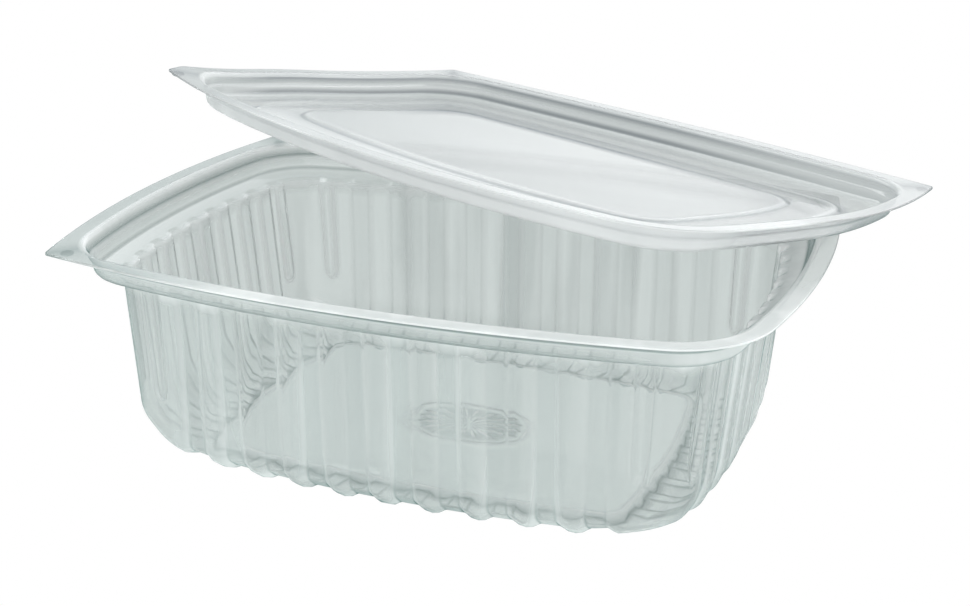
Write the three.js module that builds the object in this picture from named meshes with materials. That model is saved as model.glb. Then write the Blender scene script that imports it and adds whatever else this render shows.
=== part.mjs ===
// A clear ribbed food tray and its loose lid, both formed from one thin sheet of plastic.
// Units are millimetres. The tray stands on its foot ring, +X runs along its long side,
// and the lid lies askew over the back of the tray's mouth, its front edge raised.
import * as THREE from 'three';

// ---------------------------------------------------------------- driving dimensions

const SHEET = 0.45;

// The mouth, shared by tray and lid: a rectangle whose sides bow outwards.
const MOUTH = { halfLength: 89, halfWidth: 63.1, bowLong: 10, bowShort: 8.5, corner: 19.3 };
const RIM_WIDTH = 5.1;
const TAB_TIP = 1.5;

// Tray heights, from the surface it stands on.
const TRAY_HEIGHT = 58;
const NECK_HEIGHT = 50.6;
const SHOULDER_HEIGHT = 48.6;
const SHORT_GROOVE_HEIGHT = 17;
const HEEL_HEIGHT = 11.9;
const HEEL_MIDDLE_HEIGHT = 4.4;
const PANEL_HEIGHT = 2;

// Flat-bottomed grooves run down between the ribs, across the heel and over the foot ring.
const GROOVE_DEPTH = 1.4;
const LONG_SIDE = { pitch: 11.85, grooves: 5, land: 5.2, slope: 1.5, endLand: 3, corner: 78 };
const SHORT_SIDE = { pitch: 9.8, grooves: 4, land: 4.2, slope: 1.3, endLand: 2.6, corner: 51 };

// Lid: a plug hangs from its rim, and the top is a panel with two shallow frames.
const PLUG_DEPTH = 6.9;
const FRAME_STEP = 0.7;
const LID_LONG_STEPS = 4;
const LID_SHORT_STEPS = 3;

// The thin lid is slightly sprung: its ends, its back and one diagonal curl up, its front down.
const LID_LIFT = { ends: 2, back: 4.6, front: -1.2, twist: 0.83 };
const TAB_CURL = { lift: 1.7, reach: 30 };

// How the lid lies: its plane is tipped back and to the right, and turned clockwise.
const LID_CENTRE = new THREE.Vector3(10.2, 31, 73.1);
const LID_TURN = new THREE.Euler(-0.1605, 0.0983, -0.352, 'XYZ');

const QUADRANTS = [[1, 1], [-1, 1], [-1, -1], [1, -1]];
const ROUNDED_QUADRANT = 3;
const CORNER_SHARE = 0.96;

// ---------------------------------------------------------------- outlines

// One side of a bowed rectangle, from its middle round to the middle of its corner.
// `half` is measured along the side, `reach` from the centre out to the side's middle.
class BowedSide {
  constructor(half, reach, bow, otherBow, corner) {
    this.radius = (half ** 2 + bow ** 2) / (2 * bow);
    this.corner = corner;
    const otherRadius = (reach ** 2 + otherBow ** 2) / (2 * otherBow);
    this.centre = new THREE.Vector2(0, reach - this.radius);
    const otherCentre = new THREE.Vector2(half - otherRadius, 0);
    this.pivot = BowedSide.cornerPivot(
      this.centre, this.radius - corner, otherCentre, otherRadius - corner);
    this.sideAngle = Math.atan2(this.pivot.x, this.pivot.y - this.centre.y);
    const otherAngle = Math.atan2(this.pivot.y, this.pivot.x - otherCentre.x);
    this.endAngle = (Math.PI / 2 + this.sideAngle - otherAngle) / 2;
  }

  // The far crossing of two circles, where the corner's arc has its centre.
  static cornerPivot(centreA, radiusA, centreB, radiusB) {
    const across = centreB.clone().sub(centreA);
    const distance = across.length();
    across.normalize();
    const along = (radiusA ** 2 - radiusB ** 2 + distance ** 2) / (2 * distance);
    const aside = Math.sqrt(radiusA ** 2 - along ** 2);
    const outwards = new THREE.Vector2(across.y, -across.x);
    return centreA.clone().addScaledVector(across, along).addScaledVector(outwards, aside);
  }

  lengthTo(angle) {
    const onSide = Math.min(angle, this.sideAngle);
    return this.radius * onSide + this.corner * (angle - onSide);
  }

  angleAt(distance) {
    const angle = Math.asin(distance / this.radius);
    if (angle <= this.sideAngle) return angle;
    return Math.asin(Math.min(1, (distance - this.pivot.x) / this.corner));
  }

  pointAt(angle) {
    const normal = new THREE.Vector2(Math.sin(angle), Math.cos(angle));
    const onSide = angle <= this.sideAngle;
    const point = (onSide ? this.centre : this.pivot).clone();
    point.addScaledVector(normal, onSide ? this.radius : this.corner);
    return { point, normal };
  }

  // A station is a distance along the side, or past `last` a share of the way to the corner.
  // On an outline too small for its last station the stations draw together.
  at(station, last, cornerDistance) {
    const limit = CORNER_SHARE * this.pointAt(this.endAngle).point.x;
    const scale = Math.min(1, limit / last);
    let angle = this.angleAt(Math.min(station, last) * scale);
    if (station > last) {
      const share = (station - last) / (cornerDistance - last);
      const start = this.lengthTo(angle);
      const length = start + share * (this.lengthTo(this.endAngle) - start);
      const sideLength = this.radius * this.sideAngle;
      angle = length < sideLength
        ? length / this.radius
        : this.sideAngle + (length - sideLength) / this.corner;
    }
    return this.pointAt(angle);
  }
}

// Stations of half a ribbed side: each groove has two land edges and two rib shoulders.
function ribbedStations({ pitch, grooves, land, slope, endLand, corner }) {
  const stations = [];
  for (let groove = 0; groove <= grooves; groove += 1) {
    const isEnd = groove === grooves;
    const middle = (groove + 0.5) * pitch;
    const edge = (isEnd ? endLand : land) / 2;
    const kind = isEnd ? 'end' : 'groove';
    stations.push({ along: middle - edge - slope, kind: 'rib' });
    stations.push({ along: middle - edge, kind });
    stations.push({ along: middle + edge, kind });
    stations.push({ along: middle + edge + slope, kind: 'rib' });
  }
  const last = (grooves - 0.5) * pitch + land / 2 + slope;
  const outermost = stations[stations.length - 1].along;
  stations.push({ along: (outermost + corner) / 2, kind: 'rib' });
  return { stations, last, corner };
}

// Stations of half a plain side: even steps along it, then round to the corner.
function plainStations({ pitch, grooves, corner }, steps) {
  const last = grooves * pitch;
  const stations = [];
  for (let step = 0.5; step < steps; step += 1) {
    stations.push({ along: (last * step) / steps, kind: 'rib' });
  }
  for (let share = 0; share < 1; share += 1 / steps) {
    stations.push({ along: last + share * (corner - last), kind: 'rib' });
  }
  return { stations, last, corner };
}

// ---------------------------------------------------------------- formed sheet

// The outline of one level as a closed ring of points, anticlockwise from +X.
function ringOf(level, longSide, shortSide) {
  const ring = [];
  QUADRANTS.forEach(([signX, signY], quadrant) => {
    const corner = Array.isArray(level.corner) ? level.corner[quadrant] : level.corner;
    const { halfLength, halfWidth, bowLong, bowShort } = level;
    const long = new BowedSide(halfLength, halfWidth, bowLong, bowShort, corner);
    const short = new BowedSide(halfWidth, halfLength, bowShort, bowLong, corner);
    const place = (side, stations, station, swapped) => {
      const { point, normal } = side.at(station.along, stations.last, stations.corner);
      const depth = GROOVE_DEPTH * (level.depth?.[station.kind] ?? 0);
      const inwards = depth * (level.push?.inwards ?? 0);
      point.addScaledVector(normal, -inwards);
      const [x, y] = swapped ? [point.y, point.x] : [point.x, point.y];
      return new THREE.Vector3(signX * x, signY * y, level.z + depth * (level.push?.up ?? 0));
    };
    const shortPoints = shortSide.stations.map((s) => place(short, shortSide, s, true));
    const middle = place(long, longSide, { along: longSide.corner, kind: 'rib' }, false);
    const longPoints = longSide.stations.map((s) => place(long, longSide, s, false));
    const quarter = [...shortPoints, middle, ...longPoints.reverse()];
    ring.push(...(signX * signY > 0 ? quarter : quarter.reverse()));
  });
  return ring;
}

// Lofts the levels from the rim to the middle of the floor, then gives the sheet its
// thickness inwards, so that the given outlines are the outside of the finished piece.
function formedSheet(levels, longSide, shortSide, bend = () => 0) {
  const rings = levels.map((level) => ringOf(level, longSide, shortSide));
  const count = rings[0].length;
  const centre = new THREE.Vector3(0, 0, levels[levels.length - 1].z);
  const outside = [...rings.flat(), centre];
  for (const point of outside) point.z += bend(point);
  const pole = outside.length - 1;

  const skin = [];
  for (let ring = 0; ring < rings.length - 1; ring += 1) {
    for (let step = 0; step < count; step += 1) {
      const a = ring * count + step;
      const b = ring * count + ((step + 1) % count);
      skin.push([a, a + count, b], [b, a + count, b + count]);
    }
  }
  const lastRing = (rings.length - 1) * count;
  for (let step = 0; step < count; step += 1) {
    skin.push([lastRing + step, pole, lastRing + ((step + 1) % count)]);
  }

  const outer = new THREE.BufferGeometry().setFromPoints(outside);
  outer.setIndex(skin.flat());
  outer.computeVertexNormals();
  const normals = outer.getAttribute('normal');
  const inside = outside.map((point, i) => {
    const normal = new THREE.Vector3().fromBufferAttribute(normals, i);
    return point.clone().addScaledVector(normal, -SHEET);
  });

  const inner = outside.length;
  const faces = skin.slice();
  for (const [a, b, c] of skin) faces.push([a + inner, c + inner, b + inner]);
  for (let step = 0; step < count; step += 1) {
    const next = (step + 1) % count;
    faces.push([step, next, next + inner], [step, next + inner, step + inner]);
  }
  const sheet = new THREE.BufferGeometry().setFromPoints([...outside, ...inside]);
  sheet.setIndex(faces.flat());
  sheet.computeVertexNormals();
  return sheet;
}

// How far a side bows once its outline has moved inwards about the same centre.
function bowAfter(inset, half, bow) {
  const radius = (half ** 2 + bow ** 2) / (2 * bow) - inset;
  return radius - Math.sqrt(radius ** 2 - (half - inset) ** 2);
}

// The mouth's outline, moved inwards by `inset`, outwards where it is negative.
function mouthInset(inset, z, corner = Math.max(MOUTH.corner - inset, TAB_TIP)) {
  return {
    halfLength: MOUTH.halfLength - inset,
    halfWidth: MOUTH.halfWidth - inset,
    bowLong: bowAfter(inset, MOUTH.halfLength, MOUTH.bowLong),
    bowShort: bowAfter(inset, MOUTH.halfWidth, MOUTH.bowShort),
    corner,
    z,
  };
}

// The rim's edge: pointed tabs at three corners, and the fourth plainly rounded.
function rimEdge(z) {
  const corner = QUADRANTS.map(() => TAB_TIP);
  corner[ROUNDED_QUADRANT] = MOUTH.corner + RIM_WIDTH;
  return mouthInset(-RIM_WIDTH, z, corner);
}

// ---------------------------------------------------------------- tray

function trayLevels() {
  const sideways = { push: { inwards: 1, up: 0 } };
  const slanting = { push: { inwards: 0.7, up: 0.7 } };
  const upwards = { push: { inwards: 0, up: 1 } };
  const everyGroove = { depth: { groove: 1, end: 1 } };
  const longGrooves = { depth: { groove: 1 } };
  return [
    rimEdge(TRAY_HEIGHT - SHEET),
    mouthInset(-0.3, TRAY_HEIGHT - SHEET),
    mouthInset(1.8, NECK_HEIGHT),
    { halfLength: 81.8, halfWidth: 54.9, bowLong: 9.6, bowShort: 8.2, corner: 14.7,
      z: SHOULDER_HEIGHT, ...sideways, ...everyGroove },
    { halfLength: 78.8, halfWidth: 54.5, bowLong: 8.2, bowShort: 6.8, corner: 14.4,
      z: SHORT_GROOVE_HEIGHT, ...sideways, ...everyGroove },
    { halfLength: 78.3, halfWidth: 54.4, bowLong: 8, bowShort: 6.5, corner: 14.3,
      z: HEEL_HEIGHT, ...sideways, ...longGrooves },
    { halfLength: 75.1, halfWidth: 53.7, bowLong: 7.5, bowShort: 7, corner: 22.4,
      z: HEEL_MIDDLE_HEIGHT, ...slanting, ...longGrooves },
    { halfLength: 68.4, halfWidth: 48.4, bowLong: 7, bowShort: 7.5, corner: 26.9,
      z: 0, ...upwards, ...longGrooves },
    { halfLength: 60, halfWidth: 41.4, bowLong: 3.6, bowShort: 4, corner: 6,
      z: 0, ...upwards, ...longGrooves },
    { halfLength: 59, halfWidth: 40.4, bowLong: 3.5, bowShort: 3.9, corner: 5,
      z: PANEL_HEIGHT },
  ];
}

// ---------------------------------------------------------------- lid

function lidLevels() {
  const frame = (inset, depth) => mouthInset(inset, -depth, 12);
  return [
    rimEdge(-SHEET),
    mouthInset(-0.2, -SHEET),
    mouthInset(0.5, -PLUG_DEPTH * 0.55),
    mouthInset(1.4, -PLUG_DEPTH * 0.9),
    mouthInset(2.6, -PLUG_DEPTH),
    frame(13, PLUG_DEPTH),
    frame(14, PLUG_DEPTH - FRAME_STEP),
    frame(24, PLUG_DEPTH - FRAME_STEP),
    frame(25, PLUG_DEPTH - 2 * FRAME_STEP),
  ];
}

// The lift of a point of the lid above a flat lid's.
function lidBend(point) {
  const across = point.x / (MOUTH.halfLength + RIM_WIDTH);
  const deep = point.y / (MOUTH.halfWidth + RIM_WIDTH);
  const side = deep > 0 ? LID_LIFT.back : LID_LIFT.front;
  const bow = LID_LIFT.ends * across ** 2 + side * deep ** 2 + LID_LIFT.twist * across * deep;
  const tip = Math.hypot(point.x + MOUTH.halfLength, point.y + MOUTH.halfWidth - MOUTH.bowLong);
  const curl = Math.max(0, 1 - tip / TAB_CURL.reach) ** 2;
  return bow + TAB_CURL.lift * curl;
}

// ---------------------------------------------------------------- assembly

const clearPlastic = {
  color: 0xd3dad8, roughness: 0.08, metalness: 0, transparent: true, opacity: 0.45,
};

const tray = new THREE.Mesh(
  formedSheet(trayLevels(), ribbedStations(LONG_SIDE), ribbedStations(SHORT_SIDE)),
  new THREE.MeshStandardMaterial(clearPlastic),
);
tray.name = 'tray';

const lid = new THREE.Mesh(
  formedSheet(
    lidLevels(),
    plainStations(LONG_SIDE, LID_LONG_STEPS),
    plainStations(SHORT_SIDE, LID_SHORT_STEPS),
    lidBend,
  ),
  new THREE.MeshStandardMaterial({ ...clearPlastic, color: 0xe2e6e5 }),
);
lid.name = 'lid';
lid.position.copy(LID_CENTRE);
lid.rotation.copy(LID_TURN);

// The origin is the middle of the bottom of the box around both pieces.
const container = new THREE.Group();
container.add(tray, lid);
container.updateMatrixWorld(true);
const bounds = new THREE.Box3().setFromObject(container, true);
const middle = bounds.getCenter(new THREE.Vector3());
for (const piece of container.children) {
  piece.position.sub(new THREE.Vector3(middle.x, middle.y, bounds.min.z));
}

export default container;
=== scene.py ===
# %% [markdown]
# # A clear food tray and its loose lid
# The object is two thin sheets of clear plastic, warmed and pulled over a mould.
# Each one is a single skin about half a millimetre thick, so both are modelled the way
# they are made: first the skin that touches the mould, then its thickness.
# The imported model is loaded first, because every piece here has to lie where it says.

# %% Load the frame
import math

import bpy
import numpy as np
from mathutils import Euler, Matrix, Vector


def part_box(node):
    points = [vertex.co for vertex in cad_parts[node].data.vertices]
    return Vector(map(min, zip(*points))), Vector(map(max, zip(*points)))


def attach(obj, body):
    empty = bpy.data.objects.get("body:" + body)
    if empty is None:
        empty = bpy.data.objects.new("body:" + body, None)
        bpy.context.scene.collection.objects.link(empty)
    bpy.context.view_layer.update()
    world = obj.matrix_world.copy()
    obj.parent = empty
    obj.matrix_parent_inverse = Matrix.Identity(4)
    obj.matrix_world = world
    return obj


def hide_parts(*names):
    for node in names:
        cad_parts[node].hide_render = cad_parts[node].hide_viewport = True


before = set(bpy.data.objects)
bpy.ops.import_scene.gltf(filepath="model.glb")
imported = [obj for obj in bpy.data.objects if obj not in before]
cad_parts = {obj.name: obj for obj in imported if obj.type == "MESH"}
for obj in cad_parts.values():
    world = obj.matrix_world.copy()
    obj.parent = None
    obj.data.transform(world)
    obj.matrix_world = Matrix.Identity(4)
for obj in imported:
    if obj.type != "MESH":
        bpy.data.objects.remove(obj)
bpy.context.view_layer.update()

MM = 0.001
tray_low, tray_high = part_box("tray")
lid_low, lid_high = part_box("lid")
tray_centre = (tray_low + tray_high) / 2
tray_height = tray_high.z
print("tray", tray_low, tray_high, "lid", lid_low, lid_high)

# %% [markdown]
# ## Sums with sockets
# A node tree is easier to read as a formula than as a list of Math nodes.
# A small class wraps a socket, so that `1 - mask * 0.5` adds the nodes by itself.
# The same class serves shader trees and geometry trees, since both know the Math node.

# %% Formulas that add nodes
class Socket:
    """An output of a node that takes part in sums like a number."""

    def __init__(self, graph, socket):
        self.graph = graph
        self.socket = socket

    def math(self, operation, *others):
        return self.graph.node("ShaderNodeMath", {"operation": operation}, [self, *others])

    def __add__(self, other):
        return self.math("ADD", other)

    def __sub__(self, other):
        return self.math("SUBTRACT", other)

    def __mul__(self, other):
        return self.math("MULTIPLY", other)

    def __truediv__(self, other):
        return self.math("DIVIDE", other)

    def __rsub__(self, other):
        return self.graph.node("ShaderNodeMath", {"operation": "SUBTRACT"}, [other, self])

    __radd__ = __add__
    __rmul__ = __mul__

    def above(self, limit):
        return self.math("GREATER_THAN", limit)

    def below(self, limit):
        return self.math("LESS_THAN", limit)


class Graph:
    """A node tree that nodes are added to, one call each."""

    def __init__(self, tree):
        self.tree = tree

    def node(self, kind, settings=None, inputs=(), output=0):
        node = self.tree.nodes.new(kind)
        for name, value in (settings or {}).items():
            setattr(node, name, value)
        for key, value in inputs.items() if isinstance(inputs, dict) else enumerate(inputs):
            if isinstance(value, Socket):
                self.tree.links.new(value.socket, node.inputs[key])
            else:
                node.inputs[key].default_value = value
        return Socket(self, node.outputs[output]) if len(node.outputs) else node


# %% [markdown]
# ## Ramps, blends and endings
# Three small helpers write the nodes that come up again and again. Colours go through
# the Mix node, because a Math node would turn them grey.

# %% Helpers for shader trees
def ramp(graph, value, low, high):
    """Rises smoothly from 0 where the value is low to 1 where it is high."""
    return graph.node("ShaderNodeMapRange", {"interpolation_type": "SMOOTHSTEP"}, {
        "Value": value, "From Min": low, "From Max": high})


def blend(graph, first, second, factor):
    """The colour between two others, by a factor from 0 to 1."""
    first, second = (colour if isinstance(colour, Socket) else (*colour, 1.0)
                     for colour in (first, second))
    return graph.node("ShaderNodeMix", {"data_type": "RGBA"},
                      {0: factor, 6: first, 7: second}, output=2)


def finish_shader(graph, shader, output="ShaderNodeOutputMaterial"):
    """Ends a shader tree with its output node."""
    out = graph.tree.nodes.new(output)
    graph.tree.links.new(shader.socket, out.inputs["Surface"])


# %% [markdown]
# ## The outline of the mouth
# Seen from above, tray and lid are rectangles whose four sides bow outwards and whose
# corners are arcs. A side is an arc of a large circle, and a corner's arc touches two of
# them, so its centre is where two circles cross. Working it out this way keeps every
# outline smooth at any size, from the rim down to the floor.

# %% One side of a bowed rectangle
class BowedSide:
    """From a side's middle round to the middle of its corner. Lengths are in millimetres."""

    CORNER_SHARE = 0.96

    def __init__(self, half, reach, bow, other_bow, corner):
        self.radius = (half**2 + bow**2) / (2 * bow)
        self.corner = corner
        other_radius = (reach**2 + other_bow**2) / (2 * other_bow)
        self.centre = np.array([0.0, reach - self.radius])
        other_centre = np.array([half - other_radius, 0.0])
        across = other_centre - self.centre
        distance = np.hypot(*across)
        across = across / distance
        inner = self.radius - corner
        other_inner = other_radius - corner
        along = (inner**2 - other_inner**2 + distance**2) / (2 * distance)
        aside = math.sqrt(inner**2 - along**2)
        self.pivot = self.centre + across * along + np.array([across[1], -across[0]]) * aside
        self.side_angle = math.atan2(self.pivot[0], self.pivot[1] - self.centre[1])
        other_angle = math.atan2(self.pivot[1], self.pivot[0] - other_centre[0])
        self.end_angle = (math.pi / 2 + self.side_angle - other_angle) / 2

    def length_to(self, angle):
        on_side = np.minimum(angle, self.side_angle)
        return self.radius * on_side + self.corner * (angle - on_side)

    def points(self, stations, last, corner_station):
        """Points and outward normals at stations, which are distances along the side up to
        `last` and then shares of the way round to the middle of the corner."""
        end_x = self.pivot[0] + self.corner * math.sin(self.end_angle)
        scale = min(1.0, self.CORNER_SHARE * end_x / last)
        straight = np.minimum(stations, last) * scale
        angle = np.arcsin(straight / self.radius)
        beyond = angle > self.side_angle
        turned = np.clip((straight - self.pivot[0]) / self.corner, -1, 1)
        angle = np.where(beyond, np.arcsin(turned), angle)
        start = self.length_to(angle)
        share = np.clip((stations - last) / (corner_station - last), 0, 1)
        length = start + share * (self.length_to(self.end_angle) - start)
        side_length = self.radius * self.side_angle
        round_corner = self.side_angle + (length - side_length) / self.corner
        around = np.where(length < side_length, length / self.radius, round_corner)
        angle = np.where(share > 0, around, angle)
        normal = np.stack([np.sin(angle), np.cos(angle)], axis=1)
        on_side = (angle <= self.side_angle)[:, None]
        middle = np.where(on_side, self.centre, self.pivot)
        radius = np.where(on_side, self.radius, self.corner)
        return middle + normal * radius, normal


# %% [markdown]
# ## Stations round the outline
# Every ring of the skin has the same number of points, so that they join into a net.
# The points crowd together where a rib begins, and at the corners, where the tabs of the
# rim come to a tip. A side is described by the distance between two grooves, their number,
# the flat width of one, the painted light on its folds and the painted shade on its flat.

# %% Where the points of a ring lie
# fold sets the painted light on a groove's folded edges, and the key after it the painted shade
# on its flat
LONG = {"pitch": 11.85, "grooves": 5, "land": 5.2, "corner": 78.0, "fold": 0.2, "painted_flat_shade": 0.1}
SHORT = {"pitch": 9.8, "grooves": 4, "land": 4.3, "corner": 51.0, "fold": 0.5, "painted_flat_shade": 0.1}
CREASE = 0.28
LINE_FADE = 0.8
BESIDE_GROOVE = 1.5


def towards_corner(start, corner, steps, crowding):
    """Stations from the last groove to the corner, closer together the nearer they come."""
    shares = 1 - (1 - np.arange(steps) / steps) ** crowding
    return list(start + shares * (corner - start))


def ribbed_stations(side):
    """Stations of half a ribbed side, and the last one that is measured along the side."""
    flat = side["land"] / 2
    crown = side["pitch"] / 2 - flat
    steps = [flat - LINE_FADE, flat - CREASE, flat + CREASE, flat + 0.5 * crown]
    offsets = [-step for step in reversed(steps)] + [0.0] + steps
    stations = []
    for groove in range(side["grooves"] + 1):
        stations.append(groove * side["pitch"])
        stations += [(groove + 0.5) * side["pitch"] + offset for offset in offsets]
    start = (side["grooves"] + 1) * side["pitch"]
    stations = stations[1:] + towards_corner(start, side["corner"], steps=12,
                                              crowding=1.5)
    return np.array(stations), (side["grooves"] - 0.5) * side["pitch"] + flat + BESIDE_GROOVE


def plain_stations(side, steps):
    """Stations of half a plain side: even steps, then round to the corner."""
    last = side["grooves"] * side["pitch"]
    stations = [(step + 0.5) * last / steps for step in range(steps)]
    stations += towards_corner(last, side["corner"], steps=14, crowding=1.3)
    return np.array(stations), last


print("a ribbed long half side has", len(ribbed_stations(LONG)[0]), "stations")

# %% [markdown]
# ## What each point is
# Later steps ask what lies at a point: a groove's flat, its folded edge, or the short
# groove beside the corner. Each answer is worked out once for a quarter of the ring, and
# the quarter is then mirrored into the other three.

# %% Marks of the points, and whole rings
QUADRANTS = [(1, 1), (-1, 1), (-1, -1), (1, -1)]
ROUNDED_QUADRANT = 3
AT_CORNER = {"along": LONG["corner"], "on_long": 1.0, "from_short": LONG["corner"]}


def marks_of(side, stations):
    """What lies at each station of half a side."""
    off = np.abs(stations / side["pitch"] % 1 - 0.5) * side["pitch"]
    full = stations < side["grooves"] * side["pitch"]
    groove = full & (off < side["land"] / 2)
    fold = full & (np.abs(off - side["land"] / 2) < 2 * CREASE)
    from_short = np.abs(stations / side["pitch"] - side["grooves"] - 0.5) * side["pitch"]
    return {
        "along": stations,
        "on_long": np.full(len(stations), float(side is LONG)),
        "groove": groove * 1.0,
        # painted light on the folded edges, and two keys below, painted shade on the groove
        # flats
        "fold": fold * side["fold"],
        "fold_inside": (groove & fold) * 1.0,
        "painted_flat_shade": groove * side["painted_flat_shade"],
        "from_short": np.where(from_short < side["pitch"] / 2, from_short, side["corner"]),
    }


class Stations:
    """The stations of a whole ring, and the marks of every point."""

    def __init__(self, long_half, short_half):
        self.long, self.long_last = long_half
        self.short, self.short_last = short_half
        short, long = marks_of(SHORT, self.short), marks_of(LONG, self.long[::-1])
        flips = [slice(None, None, x * y) for x, y in QUADRANTS]
        self.marks = {}
        for key in short:
            quarter = np.concatenate([short[key], [AT_CORNER.get(key, 0.0)], long[key]])
            self.marks[key] = np.concatenate([quarter[flip] for flip in flips])
        self.count = len(self.marks["along"])

    def ring(self, outline):
        """The points of one outline and their outward normals, anticlockwise from +X."""
        points, normals = [], []
        for quadrant, (sign_x, sign_y) in enumerate(QUADRANTS):
            corner = outline["corner"]
            if "corners" in outline:
                corner = outline["corners"][quadrant]
            a, b, bow_a, bow_b = (outline[key] for key in ("a", "b", "bow_a", "bow_b"))
            long_side = BowedSide(a, b, bow_a, bow_b, corner)
            short_side = BowedSide(b, a, bow_b, bow_a, corner)
            far = np.append(self.long, LONG["corner"])
            p_long, n_long = long_side.points(far, self.long_last, LONG["corner"])
            p_short, n_short = short_side.points(self.short, self.short_last, SHORT["corner"])
            p = np.concatenate([p_short[:, ::-1], p_long[::-1]])
            n = np.concatenate([n_short[:, ::-1], n_long[::-1]])
            if sign_x * sign_y < 0:
                p, n = p[::-1], n[::-1]
            points.append(p * [sign_x, sign_y])
            normals.append(n * [sign_x, sign_y])
        return np.concatenate(points), np.concatenate(normals)


tray_stations = Stations(ribbed_stations(LONG), ribbed_stations(SHORT))
lid_stations = Stations(plain_stations(LONG, steps=24), plain_stations(SHORT, steps=18))
print("points in a ring: tray", tray_stations.count, "lid", lid_stations.count)

# %% [markdown]
# ## Levels from the rim to the floor
# A formed sheet has no sharp edges: wherever it changes direction it follows a small
# radius. A profile is therefore written as a few levels, each with its outline and its
# height, and the sharp turns between them are rounded by short curves.

# %% One level
MOUTH = {"a": 89.0, "b": 63.1, "bow_a": 10.0, "bow_b": 8.5, "corner": 19.3}
RIM_WIDTH = 5.1
TAB_TIP = 1.7
SHEET = 0.45


def bow_after(inset, half, bow):
    """How far a side bows once its outline has moved inwards about the same centre."""
    radius = (half**2 + bow**2) / (2 * bow) - inset
    return radius - math.sqrt(radius**2 - (half - inset) ** 2)


def level(inset, z, turn=0.0, strength=0.0, up=0.0, corner=None, light=0.0, dark=0.0,
          **outline):
    """The mouth's outline moved inwards, or an outline of its own, at a height z. The turn
    there is rounded over `turn` millimetres. A groove presses it by `strength`, sideways
    where `up` is 0 and upwards where it is 1."""
    own = {"a": MOUTH["a"] - inset, "b": MOUTH["b"] - inset}
    own["bow_a"] = bow_after(inset, MOUTH["a"], MOUTH["bow_a"])
    own["bow_b"] = bow_after(inset, MOUTH["b"], MOUTH["bow_b"])
    own["corner"] = max(MOUTH["corner"] - inset, TAB_TIP) if corner is None else corner
    own.update(outline)
    # light and dark are the strengths of a painted light line and a painted shade line here
    own.update(z=z, turn=turn, strength=strength, up=up, light=light, dark=dark)
    return own


print("the mouth's bow 10 mm further in", round(bow_after(10, MOUTH["a"], MOUTH["bow_a"]), 2))

# %% [markdown]
# ## A profile of rows
# Every turn becomes a short curve between its neighbours, and long stretches are divided.
# Where a thin clear sheet is folded, light makes it look lighter or darker. So a level also
# says how strong a line of painted light or painted shade it draws, fading within about a
# millimetre.

# %% Rounding a profile
KEYS = ("a", "b", "bow_a", "bow_b", "corner", "z", "strength", "up")
LINE_WIDTH = 0.8
LONGEST_CUT = 0.45


def between(upper, lower, z):
    """The level at a height between two others."""
    share = (upper["z"] - z) / (upper["z"] - lower["z"])
    own = {key: upper[key] + (lower[key] - upper[key]) * share for key in KEYS}
    return dict(own, turn=0.0, light=0.0, dark=0.0)


def line_at(row, levels, key):
    """How strongly a line of painted light or painted shade shows at a row, from the levels that
    have one.
    """
    distances = (math.hypot(row["a"] - one["a"], row["z"] - one["z"]) for one in levels)
    fading = (math.exp(-(distance / LINE_WIDTH) ** 2) for distance in distances)
    return max(one[key] * fade for one, fade in zip(levels, fading))


def rounded(levels, curve_steps=4, longest=4.0):
    """The levels with every turn rounded and every long stretch divided."""
    rows = np.array([[one[key] for key in KEYS] for one in levels])
    turns = [one["turn"] for one in levels]
    height = KEYS.index("z")
    span = np.hypot(np.diff(rows[:, 0]), np.diff(rows[:, height]))
    path = [rows[0]]
    for i in range(1, len(rows)):
        cut = min(turns[i], LONGEST_CUT * span[i - 1])
        if i < len(rows) - 1:
            cut = min(cut, LONGEST_CUT * span[i])
        arrive = rows[i] + (rows[i - 1] - rows[i]) * cut / span[i - 1]
        stretch = np.hypot(arrive[0] - path[-1][0], arrive[height] - path[-1][height])
        parts = max(1, math.ceil(stretch / longest))
        begin = path[-1]
        path += [begin + (arrive - begin) * part / parts for part in range(1, parts + 1)]
        if cut > 0:
            leave = rows[i] + (rows[i + 1] - rows[i]) * cut / span[i]
            for step in range(1, curve_steps + 1):
                t = step / curve_steps
                path.append((1 - t) ** 2 * arrive + 2 * t * (1 - t) * rows[i] + t * t * leave)
    path = [dict(zip(KEYS, row)) for row in path]
    for row in path:
        row.update({key: line_at(row, levels, key) for key in ("light", "dark")})
    return path


print("rows from the rim to the neck", len(rounded([level(0, 58), level(2.2, 50.6)])))

# %% [markdown]
# ## From rings to a skin
# The rings are joined by quads, and in the middle the last ring closes on one point.
# What is known of each point stays on the mesh as attributes, which the geometry trees
# and the material read later.

# %% Building a skin
def skin_mesh(name, rings, attributes, centre):
    """A mesh through rings of points in millimetres, closed on a point at the centre."""
    count = len(rings[0])
    points = np.concatenate(rings + [np.array([centre])]) * MM
    faces = []
    for ring in range(len(rings) - 1):
        first = ring * count
        for step in range(count):
            after = (step + 1) % count
            faces.append((first + step, first + count + step,
                          first + count + after, first + after))
    first = (len(rings) - 1) * count
    pole = len(points) - 1
    faces += [(first + step, pole, first + (step + 1) % count) for step in range(count)]
    mesh = bpy.data.meshes.new(name)
    mesh.from_pydata(points.tolist(), [], faces)
    for key, values in attributes.items():
        values = np.asarray(values, dtype=np.float32)
        kind, field = ("FLOAT_VECTOR", "vector") if values.ndim == 2 else ("FLOAT", "value")
        stored = mesh.attributes.new(key, kind, "POINT")
        stored.data.foreach_set(field, values.ravel())
    mesh.shade_smooth()
    mesh.update()
    skin = bpy.data.objects.new(name, mesh)
    bpy.context.scene.collection.objects.link(skin)
    print(name, len(points), "points,", len(faces), "faces")
    return skin


def on_points(rows):
    """One value for each point of the rings, and 0 for the closing point."""
    return np.append(np.concatenate(rows), 0)
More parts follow.
